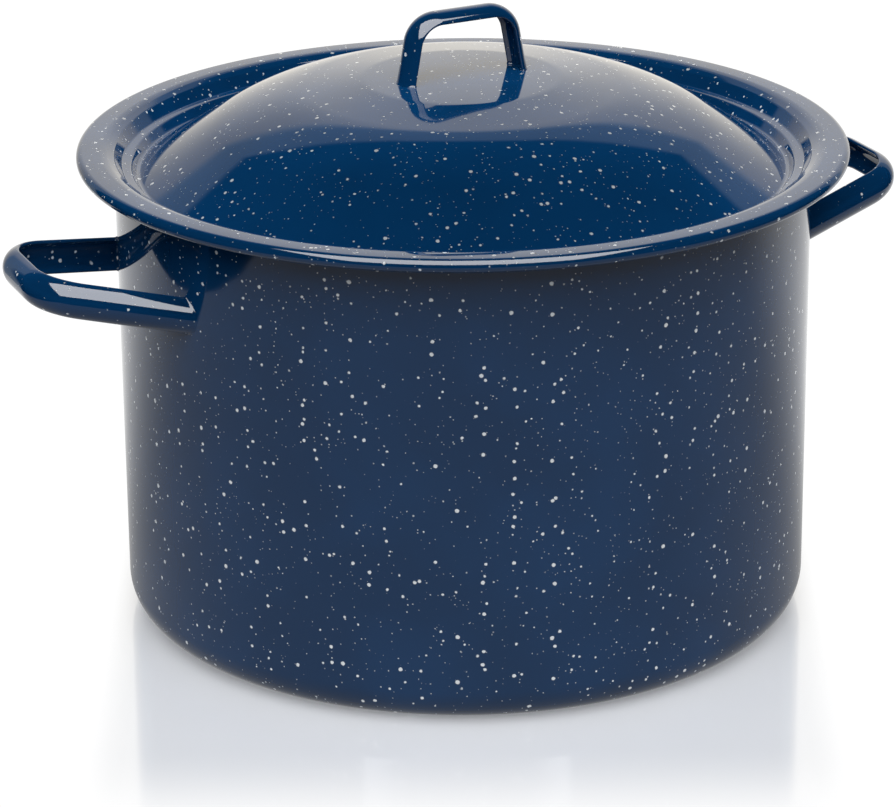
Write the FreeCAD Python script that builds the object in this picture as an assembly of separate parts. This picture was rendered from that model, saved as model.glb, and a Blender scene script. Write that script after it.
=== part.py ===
import FreeCAD, Part
import math
import os

from FreeCAD import Vector

os.makedirs("parts", exist_ok=True)

# An enamelled sheet-steel stock pot with a loose domed lid. Millimetres, +Z up.
# The origin is on the floor, on the pot's axis. The side handles lie along X.

# Steel sheet, with its enamel on both sides
SHEET = 1.0

# Pot body: a straight wall, a raised centre to the base, and an outward rolled rim
BODY_RADIUS = 140.0
BODY_HEIGHT = 191.0
BASE_CORNER_RADIUS = 15.0
BASE_RISE = 1.2
BASE_RISE_RADIUS = 100.0
BASE_STEP_WIDTH = 6.0
RIM_ROLL_RADIUS = 2.2
RIM_ROLL_END = -108.0

# Lid: crown, shoulder and skirt, then a gutter, a ledge and a level brim, rolled under
LID_TOP_Z = 221.8
CROWN_RADIUS = 40.0
CROWN_SLOPE = 3.0
CROWN_BEND_RADIUS = 700.0
CREASE_RADIUS = 30.0
SHOULDER_SLOPE = 8.0
SHOULDER_BEND_RADIUS = 92.0
SKIRT_SLOPE = 33.0
GUTTER_RADIUS = 130.6
GUTTER_Z = 183.8
LEDGE_INNER_RADIUS = 133.2
LEDGE_INNER_Z = 188.0
LEDGE_OUTER_RADIUS = 136.8
LEDGE_OUTER_Z = 188.5
BRIM_INNER_RADIUS = 139.9
BRIM_INNER_Z = 193.2
BRIM_FLAT_RADIUS = 144.0
BRIM_TOP_Z = 195.15
BRIM_RADIUS = 155.0
BRIM_ROLL_RADIUS = 2.75
BRIM_ROLL_END = -178.0
GUTTER_BEND, LEDGE_INNER_BEND, LEDGE_OUTER_BEND = 1.6, 1.4, 1.2
BRIM_INNER_BEND, BRIM_FLAT_BEND = 1.8, 8.0

# Side handles: strap pressed to a channel, bent to a U and welded to the wall
SIDE_REACH = 184.6
SIDE_ROOT_SPAN = 82.0
SIDE_GRIP_SPAN = 49.0
SIDE_BEND_RADIUS = 20.0
SIDE_STRAP_WIDTH = 14.6
SIDE_STRAP_DEPTH = 5.3
SIDE_STRAP_THICKNESS = 1.5
SIDE_ROOT_Z = 152.2
SIDE_TILT = 11.0

# Lid handle: a narrower strap of the same kind, arched and welded to the crown
LID_FOOT_SPAN = 49.0
LID_TOP_SPAN = 40.0
LID_HANDLE_TOP_Z = 245.4
LID_BEND_RADIUS = 10.0
LID_STRAP_WIDTH = 13.6
LID_STRAP_DEPTH = 3.8
LID_STRAP_THICKNESS = 1.3
LID_HANDLE_TURN = 5.0

# How far a strap's ends run on into the wall or crown before they are trimmed to it
ROOT_OVERRUN = 14.0
FOOT_OVERRUN = 8.0

AXIS_BASE = Vector(0, 0, 0)
UP = Vector(0, 0, 1)


def tangent(degrees):
    return math.tan(math.radians(degrees))


def rounded_edges(points, bend_radii):
    """Lines from point to point, with an arc of the given radius at each inner point."""
    edges = []
    start = points[0]
    for before, corner, after, radius in zip(points, points[1:], points[2:], bend_radii):
        back = (before - corner).normalize()
        onward = (after - corner).normalize()
        half_angle = back.getAngle(onward) / 2
        reach = radius / math.tan(half_angle)
        bisector = (back + onward).normalize()
        arc_start = corner + back * reach
        arc_middle = corner + bisector * (radius / math.sin(half_angle) - radius)
        arc_end = corner + onward * reach
        edges.append(Part.makeLine(start, arc_start))
        edges.append(Part.Arc(arc_start, arc_middle, arc_end).toShape())
        start = arc_end
    edges.append(Part.makeLine(start, points[-1]))
    return edges


def roll_edge(centre, radius, start_degrees, end_degrees):
    """An arc in the XZ plane about a rolled edge's centre, from one angle to another."""
    angles = (start_degrees, (start_degrees + end_degrees) / 2, end_degrees)
    around = [
        centre + Vector(math.cos(math.radians(a)), 0, math.sin(math.radians(a))) * radius
        for a in angles
    ]
    return Part.Arc(*around).toShape()


def spun_sheet(edges):
    """Gives a section line the sheet's thickness below it and turns it about the axis."""
    section = Part.Wire(edges).makeOffset2D(-SHEET, join=2, fill=True, openResult=True)
    return section.revolve(AXIS_BASE, UP, 360)


def pot_body():
    """One deep-drawn shell. The section line is its inner face and the top of its roll."""
    inner_radius = BODY_RADIUS - SHEET
    roll_z = BODY_HEIGHT - RIM_ROLL_RADIUS
    points = [
        Vector(0, 0, BASE_RISE + SHEET),
        Vector(BASE_RISE_RADIUS - BASE_STEP_WIDTH / 2, 0, BASE_RISE + SHEET),
        Vector(BASE_RISE_RADIUS + BASE_STEP_WIDTH / 2, 0, SHEET),
        Vector(inner_radius, 0, SHEET),
        Vector(inner_radius, 0, roll_z),
    ]
    step_bend = 2 * BASE_STEP_WIDTH
    edges = rounded_edges(points, [step_bend, step_bend, BASE_CORNER_RADIUS - SHEET])
    roll_centre = Vector(inner_radius + RIM_ROLL_RADIUS, 0, roll_z)
    edges.append(roll_edge(roll_centre, RIM_ROLL_RADIUS, 180, RIM_ROLL_END))
    return spun_sheet(edges)


def lid_top_edges():
    """The lid's upper face in section, from its centre to the end of the rolled edge."""
    crease_z = LID_TOP_Z - CROWN_RADIUS / 2 * tangent(CROWN_SLOPE)
    shoulder_at_axis = crease_z + CROWN_RADIUS * tangent(SHOULDER_SLOPE)
    skirt_at_axis = GUTTER_Z + GUTTER_RADIUS * tangent(SKIRT_SLOPE)
    fall = tangent(SKIRT_SLOPE) - tangent(SHOULDER_SLOPE)
    shoulder_radius = (skirt_at_axis - shoulder_at_axis) / fall
    shoulder_z = shoulder_at_axis - shoulder_radius * tangent(SHOULDER_SLOPE)
    roll_centre = Vector(BRIM_RADIUS - BRIM_ROLL_RADIUS, 0, BRIM_TOP_Z - BRIM_ROLL_RADIUS)
    bends = [
        (CROWN_RADIUS / 2, LID_TOP_Z, CROWN_BEND_RADIUS),
        (CROWN_RADIUS, crease_z, CREASE_RADIUS),
        (shoulder_radius, shoulder_z, SHOULDER_BEND_RADIUS),
        (GUTTER_RADIUS, GUTTER_Z, GUTTER_BEND),
        (LEDGE_INNER_RADIUS, LEDGE_INNER_Z, LEDGE_INNER_BEND),
        (LEDGE_OUTER_RADIUS, LEDGE_OUTER_Z, LEDGE_OUTER_BEND),
        (BRIM_INNER_RADIUS, BRIM_INNER_Z, BRIM_INNER_BEND),
        (BRIM_FLAT_RADIUS, BRIM_TOP_Z, BRIM_FLAT_BEND),
    ]
    points = [Vector(0, 0, LID_TOP_Z)]
    points += [Vector(radius, 0, z) for radius, z, bend in bends]
    points.append(Vector(roll_centre.x, 0, BRIM_TOP_Z))
    edges = rounded_edges(points, [bend for radius, z, bend in bends])
    edges.append(roll_edge(roll_centre, BRIM_ROLL_RADIUS, 90, BRIM_ROLL_END))
    return edges


def lid_shell():
    return spun_sheet(lid_top_edges())


def channel_section(start, outward, across, width, depth, thickness):
    """A strap's section at the start of its path: a bowed channel, open to the inside."""
    bow_radius = (width**2 / 4 + depth**2) / (2 * depth)
    bow_centre = depth - bow_radius
    inner_radius = bow_radius - thickness
    inner_half = math.sqrt(inner_radius**2 - bow_centre**2)

    def place(side, out):
        return start + across * side + outward * out

    half = width / 2
    outer_bow = Part.Arc(place(-half, 0), place(0, depth), place(half, 0)).toShape()
    inner_bow = Part.Arc(
        place(inner_half, 0), place(0, depth - thickness), place(-inner_half, 0)
    ).toShape()
    near_lip = Part.makeLine(place(half, 0), place(inner_half, 0))
    far_lip = Part.makeLine(place(-inner_half, 0), place(-half, 0))
    return Part.Wire([outer_bow, near_lip, inner_bow, far_lip])


def bent_strap(points, bend_radius, across, width, depth, thickness):
    """A channel strap swept along a path of four points with two equal bends."""
    path = Part.Wire(rounded_edges(points, [bend_radius, bend_radius]))
    along = (points[1] - points[0]).normalize()
    apart = points[0] - points[3]
    outward = (apart - along * apart.dot(along)).normalize()
    section = channel_section(points[0], outward, across, width, depth, thickness)
    return path.makePipeShell([section], True, False)


def side_handle():
    """The handle on the +X side, trimmed to the outside of the wall."""
    root_x = math.sqrt(BODY_RADIUS**2 - (SIDE_ROOT_SPAN / 2) ** 2)
    arm_length = (SIDE_REACH - root_x) / math.cos(math.radians(SIDE_TILT))
    taper = (SIDE_ROOT_SPAN - SIDE_GRIP_SPAN) / 2 / arm_length
    start_x = root_x - ROOT_OVERRUN
    start_y = SIDE_ROOT_SPAN / 2 + ROOT_OVERRUN * taper
    grip_x = root_x + arm_length
    grip_y = SIDE_GRIP_SPAN / 2
    points = [
        Vector(start_x, -start_y, SIDE_ROOT_Z),
        Vector(grip_x, -grip_y, SIDE_ROOT_Z),
        Vector(grip_x, grip_y, SIDE_ROOT_Z),
        Vector(start_x, start_y, SIDE_ROOT_Z),
    ]
    strap = bent_strap(
        points,
        SIDE_BEND_RADIUS,
        UP,
        SIDE_STRAP_WIDTH,
        SIDE_STRAP_DEPTH,
        SIDE_STRAP_THICKNESS,
    )
    strap.rotate(Vector(root_x, 0, SIDE_ROOT_Z), Vector(0, 1, 0), -SIDE_TILT)
    return strap.cut(Part.makeCylinder(BODY_RADIUS, BODY_HEIGHT))


def lid_handle():
    """The arch on the crown, its two feet trimmed to the crown's upper face."""
    lean = (LID_FOOT_SPAN - LID_TOP_SPAN) / 2 / (LID_HANDLE_TOP_Z - LID_TOP_Z)
    foot_x = LID_FOOT_SPAN / 2 + FOOT_OVERRUN * lean
    foot_z = LID_TOP_Z - FOOT_OVERRUN
    top_x = LID_TOP_SPAN / 2
    points = [
        Vector(-foot_x, 0, foot_z),
        Vector(-top_x, 0, LID_HANDLE_TOP_Z),
        Vector(top_x, 0, LID_HANDLE_TOP_Z),
        Vector(foot_x, 0, foot_z),
    ]
    strap = bent_strap(
        points,
        LID_BEND_RADIUS,
        Vector(0, 1, 0),
        LID_STRAP_WIDTH,
        LID_STRAP_DEPTH,
        LID_STRAP_THICKNESS,
    )
    strap.rotate(AXIS_BASE, UP, LID_HANDLE_TURN)
    top_line = lid_top_edges()
    last = top_line[-1].Vertexes[-1].Point
    rest = Part.makePolygon([last, Vector(last.x, 0, 0), AXIS_BASE, Vector(0, 0, LID_TOP_Z)])
    below_lid = Part.Face(Part.Wire(top_line + rest.Edges)).revolve(AXIS_BASE, UP, 360)
    return strap.cut(below_lid)


right_handle = side_handle()
left_handle = right_handle.copy()
left_handle.rotate(AXIS_BASE, UP, 180)

NODES = {
    "pot_body": pot_body(),
    "left_side_handle": left_handle,
    "right_side_handle": right_handle,
    "lid_shell": lid_shell(),
    "lid_handle": lid_handle(),
}

for name, shape in NODES.items():
    shape.exportStep(f"parts/{name}.step")
    box = shape.optimalBoundingBox()
    print(
        f"{name}: {shape.ShapeType} solids {len(shape.Solids)} valid {shape.isValid()}"
        f" volume {shape.Volume:.0f} x {box.XMin:.1f}..{box.XMax:.1f}"
        f" y {box.YMin:.1f}..{box.YMax:.1f} z {box.ZMin:.1f}..{box.ZMax:.1f}"
    )
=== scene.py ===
import math

import bmesh
import bpy
from mathutils import Matrix, Vector
from mathutils.bvhtree import BVHTree


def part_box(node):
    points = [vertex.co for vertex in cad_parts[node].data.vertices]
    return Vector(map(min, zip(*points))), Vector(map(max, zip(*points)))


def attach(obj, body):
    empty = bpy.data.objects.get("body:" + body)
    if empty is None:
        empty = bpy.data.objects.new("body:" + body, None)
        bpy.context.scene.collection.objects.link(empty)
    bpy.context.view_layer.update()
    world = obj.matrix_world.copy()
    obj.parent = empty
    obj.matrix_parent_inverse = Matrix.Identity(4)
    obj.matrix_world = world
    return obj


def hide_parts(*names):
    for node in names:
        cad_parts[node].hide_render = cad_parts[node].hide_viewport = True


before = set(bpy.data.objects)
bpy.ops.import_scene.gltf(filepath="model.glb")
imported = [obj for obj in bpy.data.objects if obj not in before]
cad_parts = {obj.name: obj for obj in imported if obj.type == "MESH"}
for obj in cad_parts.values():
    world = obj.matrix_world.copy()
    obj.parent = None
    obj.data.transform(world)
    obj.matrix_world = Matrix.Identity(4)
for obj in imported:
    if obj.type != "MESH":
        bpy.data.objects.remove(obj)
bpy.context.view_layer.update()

# ---------------------------------------------------------------------------
# Pot body
# A deep-drawn shell of 1 mm steel sheet, enamelled inside and out: straight wall,
# round base corner, raised base centre, and a rim rolled outward into a bead.
# ---------------------------------------------------------------------------
SHEET = 0.001
WALL_RADIUS = 0.140
BASE_CORNER = 0.015
BASE_RISE = 0.0012
BASE_STEP = (0.097, 0.103)
RIM_ROLL = 0.0022
RIM_ROLL_TURN = math.radians(288)
SPECK_EDGE = 0.0003


def section_line(points):
    """Starts a mesh with a chain of vertices in the XZ plane, from (radius, height)."""
    mesh = bmesh.new()
    line = [mesh.verts.new((radius, 0, height)) for radius, height in points]
    for start, end in zip(line, line[1:]):
        mesh.edges.new((start, end))
    return mesh, line


def bend_corner(mesh, corner, radius, steps):
    """Rounds one point of a section line to an arc of the given radius."""
    arms = [edge.other_vert(corner).co - corner.co for edge in corner.link_edges]
    bmesh.ops.bevel(
        mesh,
        geom=[corner],
        offset=radius / math.tan(arms[0].angle(arms[1]) / 2),
        offset_type="OFFSET",
        affect="VERTICES",
        segments=steps,
        profile=0.5,
        material=-1,
    )


def roll_edge(mesh, last, centre, turn, steps):
    """Carries the end of a section line round a rolled edge."""
    bmesh.ops.spin(
        mesh,
        geom=[last],
        cent=(centre[0], 0, centre[1]),
        axis=(0, 1, 0),
        angle=turn,
        steps=steps,
    )


def spin_sheet(mesh):
    """Turns a section line about the pot's axis and gives the sheet its thickness."""
    bmesh.ops.spin(
        mesh,
        geom=mesh.verts[:] + mesh.edges[:],
        cent=(0, 0, 0),
        axis=(0, 0, 1),
        angle=math.tau,
        steps=256,
        use_merge=True,
    )
    bmesh.ops.remove_doubles(mesh, verts=mesh.verts[:], dist=1e-6)
    bmesh.ops.recalc_face_normals(mesh, faces=mesh.faces[:])
    bmesh.ops.solidify(mesh, geom=mesh.faces[:], thickness=SHEET)


def finished_piece(mesh, name, material, body, node):
    """Makes the shaded object of a finished mesh and says which part it is."""
    data = bpy.data.meshes.new(name)
    mesh.to_mesh(data)
    mesh.free()
    data.shade_smooth()
    data.set_sharp_from_angle(angle=math.radians(40))
    data.materials.append(material)
    piece = bpy.data.objects.new(name, data)
    bpy.context.collection.objects.link(piece)
    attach(piece, body)
    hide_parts(node)
    return piece


def speckled_enamel(name, ground, speck_share, shift):
    """Glossy vitreous enamel: a coloured ground coat with white specks fired into it."""
    finish = bpy.data.materials.new(name)
    finish.use_nodes = True
    tree = finish.node_tree
    nodes, link = tree.nodes, tree.links.new
    shader = nodes["Principled BSDF"]
    shader.inputs["IOR"].default_value = 1.5
    place = nodes.new("ShaderNodeTexCoord")
    moved = nodes.new("ShaderNodeMapping")
    moved.inputs["Location"].default_value = shift
    link(place.outputs["Object"], moved.inputs["Vector"])

    def math_node(operation, first, second):
        step = nodes.new("ShaderNodeMath")
        step.operation = operation
        for socket, value in zip(step.inputs, (first, second)):
            if isinstance(value, (int, float)):
                socket.default_value = value
            else:
                link(value, socket)
        return step.outputs["Value"]

    def noise(scale, detail):
        cloud = nodes.new("ShaderNodeTexNoise")
        cloud.inputs["Scale"].default_value = scale
        cloud.inputs["Detail"].default_value = detail
        link(moved.outputs["Vector"], cloud.inputs["Vector"])
        return cloud

    def ranged(value, low, high, to_low, to_high, kind="LINEAR"):
        spread = nodes.new("ShaderNodeMapRange")
        spread.interpolation_type = kind
        for socket, number in zip(spread.inputs[1:5], (low, high, to_low, to_high)):
            socket.default_value = number
        link(value, spread.inputs["Value"])
        return spread.outputs["Result"]

    # The specks' outlines wander a little, so few of them are true rounds.
    wander = noise(900, 1)
    nudge = nodes.new("ShaderNodeMix")
    nudge.data_type = "VECTOR"
    nudge.inputs["Factor"].default_value = 0.00045
    link(moved.outputs["Vector"], nudge.inputs["A"])
    link(wander.outputs["Color"], nudge.inputs["B"])

    def specks(spacing, smallest, largest, share):
        """One speck in some of the cells of a 3D pattern, mostly small, a few large."""
        cells = nodes.new("ShaderNodeTexVoronoi")
        cells.inputs["Scale"].default_value = 1 / spacing
        link(nudge.outputs["Result"], cells.inputs["Vector"])
        chance = nodes.new("ShaderNodeSeparateColor")
        link(cells.outputs["Color"], chance.inputs["Color"])
        chosen = math_node("GREATER_THAN", chance.outputs["Red"], 1 - share)
        size = math_node("POWER", chance.outputs["Green"], 1.6)
        size = ranged(size, 0, 1, smallest / spacing, largest / spacing)
        radius = math_node("MULTIPLY", size, chosen)
        inside = math_node("SUBTRACT", radius, cells.outputs["Distance"])
        return ranged(inside, 0, SPECK_EDGE / spacing, 0, 1, "SMOOTHSTEP")

    large = specks(0.0036, 0.00036, 0.0010, speck_share)
    small = specks(0.0021, 0.00026, 0.00044, speck_share)
    speck = math_node("MAXIMUM", large, math_node("MULTIPLY", small, 0.8))

    cloudy = noise(22, 2)
    shade = nodes.new("ShaderNodeMix")
    shade.data_type = "RGBA"
    shade.inputs["A"].default_value = (*[channel * 0.88 for channel in ground], 1)
    shade.inputs["B"].default_value = (*[channel * 1.12 for channel in ground], 1)
    link(ranged(cloudy.outputs["Fac"], 0.35, 0.65, 0, 1), shade.inputs["Factor"])
    colour = nodes.new("ShaderNodeMix")
    colour.data_type = "RGBA"
    colour.inputs["B"].default_value = (0.90, 0.95, 1.0, 1)
    link(shade.outputs["Result"], colour.inputs["A"])
    link(speck, colour.inputs["Factor"])
    link(colour.outputs["Result"], shader.inputs["Base Color"])

    haze = noise(9, 3)
    link(ranged(haze.outputs["Fac"], 0.3, 0.7, 0.03, 0.06), shader.inputs["Roughness"])

    # The fired coat is not quite flat: long soft ripples, and a low bump at each speck.
    ripple = noise(55, 1)
    height = math_node("MULTIPLY", ripple.outputs["Fac"], 0.000035)
    height = math_node("ADD", height, math_node("MULTIPLY", speck, 0.00001))
    bump = nodes.new("ShaderNodeBump")
    bump.inputs["Strength"].default_value = 1
    bump.inputs["Distance"].default_value = 1
    link(height, bump.inputs["Height"])
    link(bump.outputs["Normal"], shader.inputs["Normal"])
    return finish


NAVY = (0.0012, 0.0265, 0.085)
body_enamel = speckled_enamel("navy_body_enamel", NAVY, 0.68, (0.31, 0.17, 0.05))

rim_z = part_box("pot_body")[1][2] - RIM_ROLL
inner_wall = WALL_RADIUS - SHEET
pot_section, pot_line = section_line(
    [
        (0, BASE_RISE + SHEET),
        (BASE_STEP[0], BASE_RISE + SHEET),
        (BASE_STEP[1], SHEET),
        (inner_wall, SHEET),
        (inner_wall, rim_z),
    ]
)
roll_edge(pot_section, pot_line[-1], (inner_wall + RIM_ROLL, rim_z), RIM_ROLL_TURN, 26)
bend_corner(pot_section, pot_line[1], 0.012, 6)
bend_corner(pot_section, pot_line[2], 0.012, 6)
bend_corner(pot_section, pot_line[3], BASE_CORNER - SHEET, 20)
spin_sheet(pot_section)
pot_shell = finished_piece(
    pot_section, "drawn_pot_shell", body_enamel, "pot", "pot_body"
)

# ---------------------------------------------------------------------------
# Side handles
# Two steel straps pressed to a bowed channel, bent to a U that rises outward, and
# welded to the wall by both ends before enamelling, so enamel rounds off each joint.
# ---------------------------------------------------------------------------
SIDE_CORNER = 0.0245
SIDE_ROOT = 0.041
SIDE_ARM_OUT = 0.05168
SIDE_BEND = 0.020
SIDE_STRAP = (0.0146, 0.0053, 0.0015)
SIDE_ROOT_Z = 0.1522
SIDE_TILT = math.radians(11)
WELD_RINGS = (0.0012, 0.0008, 0.0005, 0.00025, 0.0001, 0.0)
WELD_FLARE = 0.0004
WELD_SINK = 0.0004
RUN_ON = 0.012
CAST_BACK = 0.03


def pressed_strap(corner, root, arm_out, bend, strap):
    """Half a channel strap: its bow faces +X, its grip lies along Y, one arm runs back."""
    width, depth, thickness = strap
    bow = (width**2 / 4 + depth**2) / (2 * depth)
    half_bow = math.asin(width / 2 / bow)
    arm = Vector((-arm_out, root - corner, 0))
    turn = Vector((0, 1, 0)).angle(arm)
    reach = bend * math.tan(turn / 2)

    mesh = bmesh.new()
    lip = mesh.verts.new((0, 0, -width / 2))
    bmesh.ops.spin(
        mesh, geom=[lip], cent=(depth - bow, 0, 0), axis=(0, -1, 0), angle=2 * half_bow, steps=18
    )
    section = mesh.edges[:]

    def run(edges, along):
        added = bmesh.ops.extrude_edge_only(mesh, edges=edges)["geom"]
        ends = [part for part in added if isinstance(part, bmesh.types.BMVert)]
        bmesh.ops.translate(mesh, verts=ends, vec=along)
        return [part for part in added if isinstance(part, bmesh.types.BMEdge)]

    section = run(section, Vector((0, corner - reach, 0)))
    bent = bmesh.ops.spin(
        mesh,
        geom=section,
        cent=(-bend, corner - reach, 0),
        axis=(0, 0, 1),
        angle=turn,
        steps=18,
    )["geom_last"]
    section = [part for part in bent if isinstance(part, bmesh.types.BMEdge)]
    along = arm.normalized()
    straight = arm.length - reach + RUN_ON
    section = run(section, along * (straight - WELD_RINGS[0]))
    for far, near in zip(WELD_RINGS, WELD_RINGS[1:]):
        section = run(section, along * (far - near))

    other = bmesh.ops.duplicate(mesh, geom=mesh.verts[:] + mesh.edges[:] + mesh.faces[:])["geom"]
    other_verts = [part for part in other if isinstance(part, bmesh.types.BMVert)]
    bmesh.ops.scale(mesh, vec=(1, -1, 1), verts=other_verts)
    bmesh.ops.remove_doubles(mesh, verts=mesh.verts[:], dist=1e-6)
    bmesh.ops.recalc_face_normals(mesh, faces=mesh.faces[:])
    grip = max(mesh.faces, key=lambda face: face.calc_center_median().x)
    if grip.normal.x < 0:
        bmesh.ops.reverse_faces(mesh, faces=mesh.faces[:])
    bmesh.ops.solidify(mesh, geom=mesh.faces[:], thickness=thickness)
    lips = [
        edge
        for edge in mesh.edges
        if len(edge.link_faces) == 2
        and edge.calc_face_angle() > math.radians(50)
        and abs((edge.verts[0].co - edge.verts[1].co).z) < 1e-5
    ]
    bmesh.ops.bevel(
        mesh,
        geom=lips,
        offset=0.42 * thickness,
        offset_type="OFFSET",
        affect="EDGES",
        segments=3,
        profile=0.5,
        material=-1,
    )
    return mesh, along


def surface_of(piece):
    data = piece.data
    return BVHTree.FromPolygons(
        [vertex.co for vertex in data.vertices], [face.vertices for face in data.polygons]
    )


def seat_ends(mesh, place, arm, end, surface):
    """Runs both arms on to the surface they are welded to, with a fillet of enamel."""
    mirror = Matrix.Diagonal((1, -1, 1, 1))
    arms = [place.to_3x3() @ arm, place.to_3x3() @ (mirror.to_3x3() @ arm)]
    end_points = [place @ end, place @ (mirror @ end)]
    mesh.normal_update()
    moves = []
    for vertex in mesh.verts:
        for along, end_point in zip(arms, end_points):
            short = (end_point - vertex.co).dot(along)
            if short < WELD_RINGS[0] + 1e-5:
                lean = WELD_FLARE * max(0.0, 1 - short / WELD_RINGS[0]) ** 2.2
                sideways = vertex.normal - along * vertex.normal.dot(along)
                start = vertex.co + sideways * lean - along * CAST_BACK
                hit = surface.ray_cast(start, along)[0]
                back = short if short > 1e-5 else -WELD_SINK
                moves.append((vertex, hit - along * back))
    for vertex, seat in moves:
        vertex.co = seat


handle_enamel = speckled_enamel("navy_handle_enamel", NAVY, 0.42, (0.13, 0.41, 0.29))
wall_surface = surface_of(pot_shell)
root_x = math.sqrt(WALL_RADIUS**2 - SIDE_ROOT**2)

for node, name, turned in (
    ("right_side_handle", "right_strap_handle", 0),
    ("left_side_handle", "left_strap_handle", math.pi),
):
    strap, arm = pressed_strap(
        SIDE_CORNER, SIDE_ROOT, SIDE_ARM_OUT, SIDE_BEND, SIDE_STRAP
    )
    root = Vector((-SIDE_ARM_OUT, SIDE_ROOT, 0)) + arm * RUN_ON
    place = (
        Matrix.Rotation(turned, 4, "Z")
        @ Matrix.Translation((root_x, 0, SIDE_ROOT_Z))
        @ Matrix.Rotation(-SIDE_TILT, 4, "Y")
        @ Matrix.Translation((SIDE_ARM_OUT, 0, 0))
    )
    bmesh.ops.transform(strap, matrix=place, verts=strap.verts[:])
    seat_ends(strap, place, arm, root, wall_surface)
    finished_piece(strap, name, handle_enamel, "pot", node)

# ---------------------------------------------------------------------------
# Lid
# One pressing of the same sheet: a shallow crown, a dome that falls to a gutter, a
# ledge that seats in the pot's mouth, and a wide level brim with its edge rolled under.
# ---------------------------------------------------------------------------
CROWN = (0.040, math.tan(math.radians(3)))
SHOULDER_FALL = math.tan(math.radians(8))
SKIRT_FALL = math.tan(math.radians(33))
GUTTER = (0.1306, 0.1838)
LEDGE_INNER = (0.1332, 0.1880)
LEDGE_OUTER = (0.1368, 0.1885)
BRIM_INNER = (0.1399, 0.1932)
BRIM_FLAT_RADIUS = 0.144
BRIM_TOP_Z = 0.19515
BRIM_ROLL = 0.00275
BRIM_ROLL_TURN = math.radians(268)
LID_BENDS = (0.700, 0.030, 0.092, 0.0016, 0.0014, 0.0012, 0.0018, 0.008)
LID_BEND_STEPS = (6, 6, 24, 12, 8, 8, 8, 14)

lid_enamel = speckled_enamel("navy_lid_enamel", NAVY, 0.68, (0.07, 0.53, 0.37))
lid_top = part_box("lid_shell")[1][2]
brim_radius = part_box("lid_shell")[1][0]
crease_z = lid_top - CROWN[0] / 2 * CROWN[1]
shoulder_start = crease_z + CROWN[0] * SHOULDER_FALL
skirt_start = GUTTER[1] + GUTTER[0] * SKIRT_FALL
shoulder_radius = (skirt_start - shoulder_start) / (SKIRT_FALL - SHOULDER_FALL)
roll_centre = (brim_radius - BRIM_ROLL, BRIM_TOP_Z - BRIM_ROLL)
lid_section, lid_line = section_line(
    [
        (0, lid_top),
        (CROWN[0] / 2, lid_top),
        (CROWN[0], crease_z),
        (shoulder_radius, shoulder_start - shoulder_radius * SHOULDER_FALL),
        GUTTER,
        LEDGE_INNER,
        LEDGE_OUTER,
        BRIM_INNER,
        (BRIM_FLAT_RADIUS, BRIM_TOP_Z),
        (roll_centre[0], BRIM_TOP_Z),
    ]
)
roll_edge(lid_section, lid_line[-1], roll_centre, BRIM_ROLL_TURN, 30)
for corner, radius, steps in zip(lid_line[1:-1], LID_BENDS, LID_BEND_STEPS):
    bend_corner(lid_section, corner, radius, steps)
spin_sheet(lid_section)
lid_sheet = finished_piece(
    lid_section, "pressed_lid", lid_enamel, "lid", "lid_shell"
)

# ---------------------------------------------------------------------------
# Lid handle
# A narrower strap of the same kind, arched over the crown with its bow upward and
# welded to it by both feet, a little out of line with the side handles.
# ---------------------------------------------------------------------------
LID_CORNER = 0.020
LID_FOOT = 0.0245
LID_ARCH_RISE = 0.0236
LID_BEND = 0.010
LID_STRAP = (0.0136, 0.0038, 0.0013)
LID_HANDLE_TURN = math.radians(5)

arch, leg = pressed_strap(LID_CORNER, LID_FOOT, LID_ARCH_RISE, LID_BEND, LID_STRAP)
foot = Vector((-LID_ARCH_RISE, LID_FOOT, 0)) + leg * RUN_ON
stand_up = Matrix(((0, 1, 0, 0), (0, 0, 1, 0), (1, 0, 0, 0), (0, 0, 0, 1)))
place = (
    Matrix.Rotation(LID_HANDLE_TURN, 4, "Z")
    @ Matrix.Translation((0, 0, lid_top + LID_ARCH_RISE))
    @ stand_up
)
bmesh.ops.transform(arch, matrix=place, verts=arch.verts[:])
seat_ends(arch, place, leg, foot, surface_of(lid_sheet))
finished_piece(arch, "lid_strap_handle", handle_enamel, "lid", "lid_handle")

# ---------------------------------------------------------------------------
# Floor, light and camera
# A plain white floor, and a grey card that only reflections see. A white backdrop, a
# dark ceiling and one large softbox above the camera. A long lens looks slightly down.
# ---------------------------------------------------------------------------
CAMERA_TURN = math.radians(-23.35)
CAMERA_OUT = 1.4713
CAMERA_HEIGHT = 0.6368
CAMERA_DROP = math.radians(20.69)
CAMERA_PAN = math.radians(0.28)
CAMERA_ROLL = math.radians(-0.49)
CAMERA_LENS = 153.5


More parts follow.
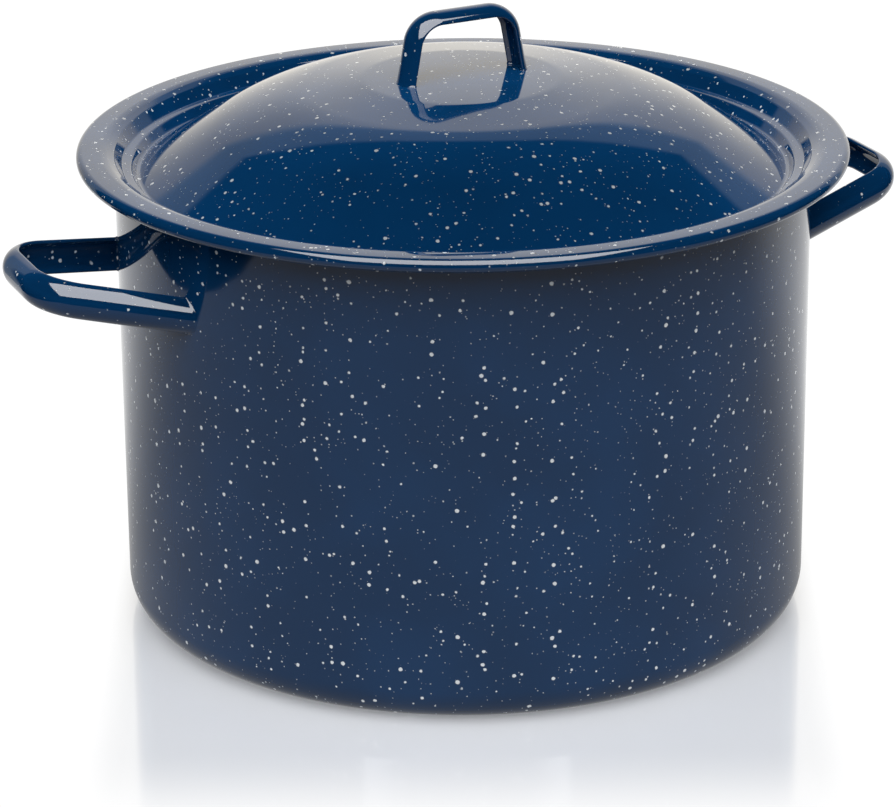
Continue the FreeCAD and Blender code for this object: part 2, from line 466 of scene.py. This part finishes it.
def white_floor():
    """Bare white, with a polished patch round the pot that mirrors its foot."""
    finish = bpy.data.materials.new("white_floor")
    finish.use_nodes = True
    tree = finish.node_tree
    nodes, link = tree.nodes, tree.links.new
    white = nodes["Principled BSDF"]
    white.inputs["Base Color"].default_value = (0, 0, 0, 1)
    white.inputs["Specular IOR Level"].default_value = 0
    white.inputs["Emission Color"].default_value = (1, 1, 1, 1)
    white.inputs["Emission Strength"].default_value = 1.05
    polished = nodes.new("ShaderNodeBsdfPrincipled")
    polished.inputs["Base Color"].default_value = (0.56, 0.58, 0.62, 1)
    polished.inputs["Emission Color"].default_value = (1, 1, 1, 1)
    polished.inputs["Emission Strength"].default_value = 0.24
    polished.inputs["Roughness"].default_value = 0.08
    polished.inputs["IOR"].default_value = 2.2
    place = nodes.new("ShaderNodeTexCoord")
    either_side = nodes.new("ShaderNodeVectorMath")
    either_side.operation = "ABSOLUTE"
    link(place.outputs["Object"], either_side.inputs[0])
    split = nodes.new("ShaderNodeSeparateXYZ")
    link(either_side.outputs["Vector"], split.inputs["Vector"])

    def fade(value, start, end):
        """Falls softly from one to nothing between two distances."""
        soft = nodes.new("ShaderNodeMapRange")
        soft.interpolation_type = "SMOOTHSTEP"
        for socket, number in zip(soft.inputs[1:5], (start, end, 1, 0)):
            socket.default_value = number
        link(value, soft.inputs["Value"])
        return soft.outputs["Result"]

    patch = nodes.new("ShaderNodeMath")
    patch.operation = "MULTIPLY"
    link(fade(split.outputs["X"], 0.130, 0.152), patch.inputs[0])
    link(fade(split.outputs["Y"], 0.155, 0.238), patch.inputs[1])
    mixed = nodes.new("ShaderNodeMixShader")
    link(patch.outputs["Value"], mixed.inputs["Fac"])
    link(white.outputs["BSDF"], mixed.inputs[1])
    link(polished.outputs["BSDF"], mixed.inputs[2])
    link(mixed.outputs["Shader"], nodes["Material Output"].inputs["Surface"])
    return finish


def grey_card():
    """A glow that is dim before the pot and brighter behind it, near the backdrop."""
    finish = bpy.data.materials.new("grey_card")
    finish.use_nodes = True
    tree = finish.node_tree
    nodes, link = tree.nodes, tree.links.new
    card = nodes["Principled BSDF"]
    card.inputs["Base Color"].default_value = (0, 0, 0, 1)
    card.inputs["Specular IOR Level"].default_value = 0
    card.inputs["Emission Color"].default_value = (1, 1, 1, 1)
    place = nodes.new("ShaderNodeTexCoord")
    split = nodes.new("ShaderNodeSeparateXYZ")
    glow = nodes.new("ShaderNodeMapRange")
    glow.interpolation_type = "SMOOTHSTEP"
    for socket, number in zip(glow.inputs[1:5], (0.0, 0.3, 0.43, 0.95)):
        socket.default_value = number
    link(place.outputs["Object"], split.inputs["Vector"])
    link(split.outputs["Y"], glow.inputs["Value"])
    link(glow.outputs["Result"], card.inputs["Emission Strength"])
    return finish


def floor_plane(name, low, high, height, finish):
    """A rectangle on the floor, square to the camera, from one corner to the other."""
    plane = bmesh.new()
    corners = ((low[0], low[1]), (high[0], low[1]), (high[0], high[1]), (low[0], high[1]))
    plane.faces.new([plane.verts.new((x, y, height)) for x, y in corners])
    sheet = bpy.data.objects.new(name, bpy.data.meshes.new(name))
    plane.to_mesh(sheet.data)
    plane.free()
    sheet.data.materials.append(finish)
    sheet.matrix_world = Matrix.Rotation(CAMERA_TURN, 4, "Z")
    bpy.context.collection.objects.link(sheet)
    return sheet


floor = floor_plane("floor", (-9, -9), (9, 9), 0, white_floor())
floor.visible_glossy = False
floor.visible_diffuse = False
floor.visible_shadow = False
card = floor_plane("floor_card", (-0.5, -0.58), (0.6, 1.5), -0.0005, grey_card())
card.visible_camera = False
card.visible_shadow = False


def studio():
    """The room all round: a warm white backdrop over a cool grey band, and dark elsewhere."""
    world = bpy.data.worlds.new("studio")
    world.use_nodes = True
    bpy.context.scene.world = world
    tree = world.node_tree
    nodes, link = tree.nodes, tree.links.new
    direction = nodes.new("ShaderNodeTexCoord")
    turned = nodes.new("ShaderNodeMapping")
    turned.inputs["Rotation"].default_value = (0, 0, -CAMERA_TURN)
    split = nodes.new("ShaderNodeSeparateXYZ")
    link(direction.outputs["Generated"], turned.inputs["Vector"])
    link(turned.outputs["Vector"], split.inputs[0])

    def band(axis, start, end, low=0, high=1):
        """Goes from low to high along an axis of the room, with a soft edge between."""
        up = nodes.new("ShaderNodeMapRange")
        up.interpolation_type = "SMOOTHSTEP"
        for socket, number in zip(up.inputs[1:5], (start, end, low, high)):
            socket.default_value = number
        link(split.outputs[axis], up.inputs["Value"])
        return up.outputs["Result"]

    def combined(operation, first, *others):
        for other in others:
            step = nodes.new("ShaderNodeMath")
            step.operation = operation
            link(first, step.inputs[0])
            link(other, step.inputs[1])
            first = step.outputs["Value"]
        return first

    grey_band = band("Y", 0.66, 0.69, 0, 0.4)
    backdrop = combined(
        "MULTIPLY",
        band("Y", 0.77, 0.82, 0, 0.65),
        band("Y", 0.85, 1.0, 1, 1.35),
        band("X", -0.7, 0.0, 0.2, 1),
        band("X", 0.8, 0.1, 0.45, 1),
    )
    tint = nodes.new("ShaderNodeMix")
    tint.data_type = "RGBA"
    tint.inputs["A"].default_value = (0.87, 1.0, 1.09, 1)
    tint.inputs["B"].default_value = (1.04, 0.98, 0.86, 1)
    link(band("Y", 0.77, 0.82), tint.inputs["Factor"])
    link(tint.outputs["Result"], nodes["Background"].inputs["Color"])
    link(combined("ADD", grey_band, backdrop), nodes["Background"].inputs["Strength"])


studio()


def softbox(name, radiance, seen_in_gloss):
    """The big softbox, hung above and behind the camera and turned to face the pot."""
    width, height, away = 8.4, 7.8, 6.0
    light = bpy.data.lights.new(name, "AREA")
    light.shape = "RECTANGLE"
    light.size = width
    light.size_y = height
    light.energy = radiance * math.pi * width * height
    lamp = bpy.data.objects.new(name, light)
    lamp.visible_camera = False
    lamp.visible_glossy = seen_in_gloss
    lamp.visible_diffuse = not seen_in_gloss
    bpy.context.collection.objects.link(lamp)
    lamp.matrix_world = (
        Matrix.Rotation(CAMERA_TURN, 4, "Z")
        @ Matrix.Rotation(math.radians(90 - 59), 4, "X")
        @ Matrix.Translation((0, 0, away))
    )


softbox("softbox_glare", 9.5, True)
softbox("softbox_fill", 5.2, False)

camera = bpy.data.objects.new("camera", bpy.data.cameras.new("camera"))
bpy.context.collection.objects.link(camera)
camera.data.sensor_width = 36
camera.data.lens = CAMERA_LENS
camera.data.clip_start = 0.05
camera.data.clip_end = 60
camera.matrix_world = (
    Matrix.Rotation(CAMERA_TURN, 4, "Z")
    @ Matrix.Translation((0, -CAMERA_OUT, CAMERA_HEIGHT))
    @ Matrix.Rotation(CAMERA_PAN, 4, "Z")
    @ Matrix.Rotation(math.radians(90) - CAMERA_DROP, 4, "X")
    @ Matrix.Rotation(CAMERA_ROLL, 4, "Z")
)
bpy.context.scene.camera = camera
bpy.context.scene.view_settings.view_transform = "Standard"
